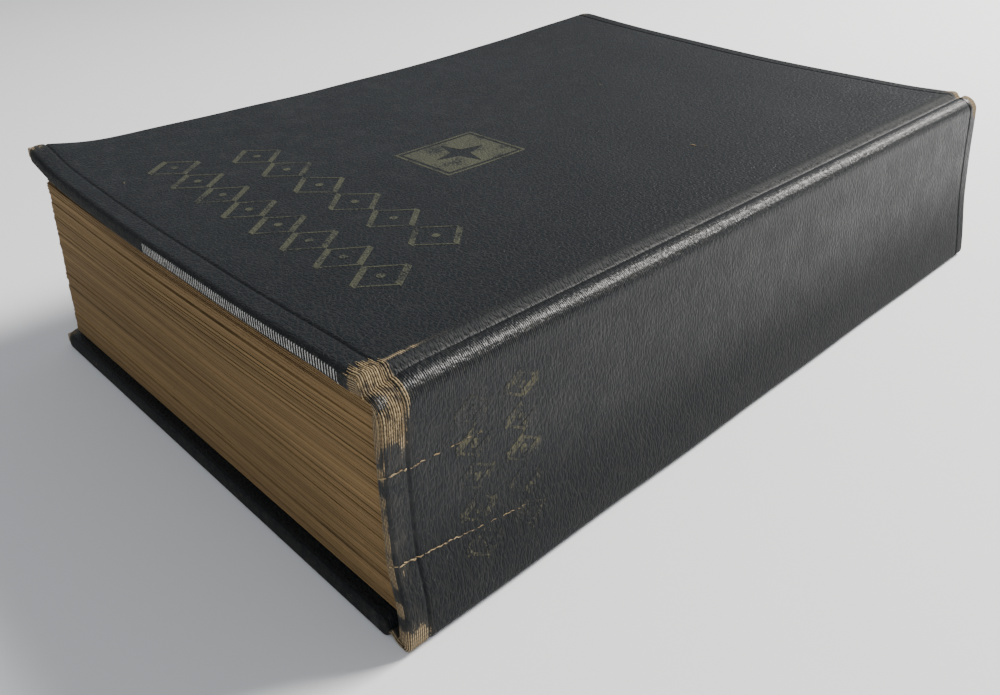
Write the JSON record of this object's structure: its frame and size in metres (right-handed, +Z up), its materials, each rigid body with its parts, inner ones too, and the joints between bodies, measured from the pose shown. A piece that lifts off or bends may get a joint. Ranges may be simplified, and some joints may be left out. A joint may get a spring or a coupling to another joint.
{
  "type": "hardbound manual",
  "caption": "Thick old case-bound manual with dark leather-grained cloth covers, worn gilt ornament, hinged boards and turning leading leaves.",
  "frame": {"origin": "centre of the closed book's footprint, on the surface it lies on", "axes": "+X from the spine to the fore edge, +Y from tail to head, +Z up through the front cover"},
  "size_m": [0.141, 0.197, 0.0514],
  "materials": {
    "grained_cloth": "black leather-grained book cloth, worn soft sheen",
    "dull_gilt": "worn dull gold stamping",
    "binders_board": "grey-brown binder's board",
    "endpaper": "aged cream paper, matt",
    "text_paper": "browned paper with darker edges, matt",
    "kraft_lining": "brown kraft paper",
    "mull": "open-weave starched cotton",
    "sewing_tape": "woven linen tape",
    "linen_thread": "waxed linen thread"
  },
  "bodies": {
    "text_block": {"section_01": "text_paper", "section_02": "text_paper", "section_03": "text_paper", "section_04": "text_paper", "section_05": "text_paper", "section_06": "text_paper", "section_07": "text_paper", "section_08": "text_paper", "section_09": "text_paper", "section_10": "text_paper", "section_11": "text_paper", "section_12": "text_paper", "section_13": "text_paper", "section_14": "text_paper", "section_15": "text_paper", "section_16": "text_paper", "section_17": "text_paper", "section_18": "text_paper", "section_19": "text_paper", "section_20": "text_paper", "section_21": "text_paper", "section_22": "text_paper", "section_23": "text_paper", "section_24": "text_paper", "front_gutter": "text_paper", "rear_gutter": "text_paper", "sewing_tapes": "sewing_tape", "sewing_threads": "linen_thread", "spine_mull": "mull", "spine_lining_paper": "kraft_lining", "spine_stiffener": "binders_board", "spine_cloth": "grained_cloth", "spine_title_stamping": "dull_gilt", "front_joint_cloth": "grained_cloth", "back_joint_cloth": "grained_cloth"},
    "front_cover": {"front_board": "binders_board", "front_cover_cloth": "grained_cloth", "front_pastedown": "endpaper", "front_title_stamping": "dull_gilt", "front_emblem_stamping": "dull_gilt"},
    "back_cover": {"back_board": "binders_board", "back_cover_cloth": "grained_cloth", "back_pastedown": "endpaper"},
    "front_flyleaf": {"front_flyleaf": "endpaper"},
    "leaf_1": {"leaf_1": "text_paper"},
    "leaf_2": {"leaf_2": "text_paper"},
    "leaf_3": {"leaf_3": "text_paper"},
    "leaf_4": {"leaf_4": "text_paper"},
    "leaf_5": {"leaf_5": "text_paper"},
    "rear_flyleaf": {"rear_flyleaf": "endpaper"}
  },
  "joints": [
    {"name": "front_cover_hinge", "type": "hinge", "parent": "text_block", "child": "front_cover", "pos_m": [-0.0656, 0, 0.04635], "axis": [0, -1, 0], "range_deg": [0, 178], "deforming": ["front_joint_cloth"]},
    {"name": "back_cover_hinge", "type": "hinge", "parent": "text_block", "child": "back_cover", "pos_m": [-0.0656, 0, -0.00035], "axis": [0, 1, 0], "range_deg": [0, 178], "deforming": ["back_joint_cloth"]},
    {"name": "front_flyleaf_turn", "type": "hinge", "parent": "text_block", "child": "front_flyleaf", "pos_m": [-0.0656, 0, 0.04635], "axis": [0, -1, 0], "range_deg": [0, 172.66]},
    {"name": "leaf_1_turn", "type": "hinge", "parent": "text_block", "child": "leaf_1", "pos_m": [-0.0656, 0, 0.04635], "axis": [0, -1, 0], "range_deg": [0, 165.54]},
    {"name": "leaf_2_turn", "type": "hinge", "parent": "text_block", "child": "leaf_2", "pos_m": [-0.0656, 0, 0.04635], "axis": [0, -1, 0], "range_deg": [0, 151.3]},
    {"name": "leaf_3_turn", "type": "hinge", "parent": "text_block", "child": "leaf_3", "pos_m": [-0.0656, 0, 0.04635], "axis": [0, -1, 0], "range_deg": [0, 124.6]},
    {"name": "leaf_4_turn", "type": "hinge", "parent": "text_block", "child": "leaf_4", "pos_m": [-0.0656, 0, 0.04635], "axis": [0, -1, 0], "range_deg": [0, 85.44]},
    {"name": "leaf_5_turn", "type": "hinge", "parent": "text_block", "child": "leaf_5", "pos_m": [-0.0656, 0, 0.04635], "axis": [0, -1, 0], "range_deg": [0, 42.72]},
    {"name": "rear_flyleaf_turn", "type": "hinge", "parent": "text_block", "child": "rear_flyleaf", "pos_m": [-0.0656, 0, -0.00035], "axis": [0, 1, 0], "range_deg": [0, 172.66]}
  ],
  "couplings": [
    {"joint": "front_flyleaf_turn", "follows": "front_cover_hinge", "ratio": 0.97},
    {"joint": "leaf_1_turn", "follows": "front_cover_hinge", "ratio": 0.93},
    {"joint": "leaf_2_turn", "follows": "front_cover_hinge", "ratio": 0.85},
    {"joint": "leaf_3_turn", "follows": "front_cover_hinge", "ratio": 0.7},
    {"joint": "leaf_4_turn", "follows": "front_cover_hinge", "ratio": 0.48},
    {"joint": "leaf_5_turn", "follows": "front_cover_hinge", "ratio": 0.24},
    {"joint": "rear_flyleaf_turn", "follows": "back_cover_hinge", "ratio": 0.97}
  ]
}
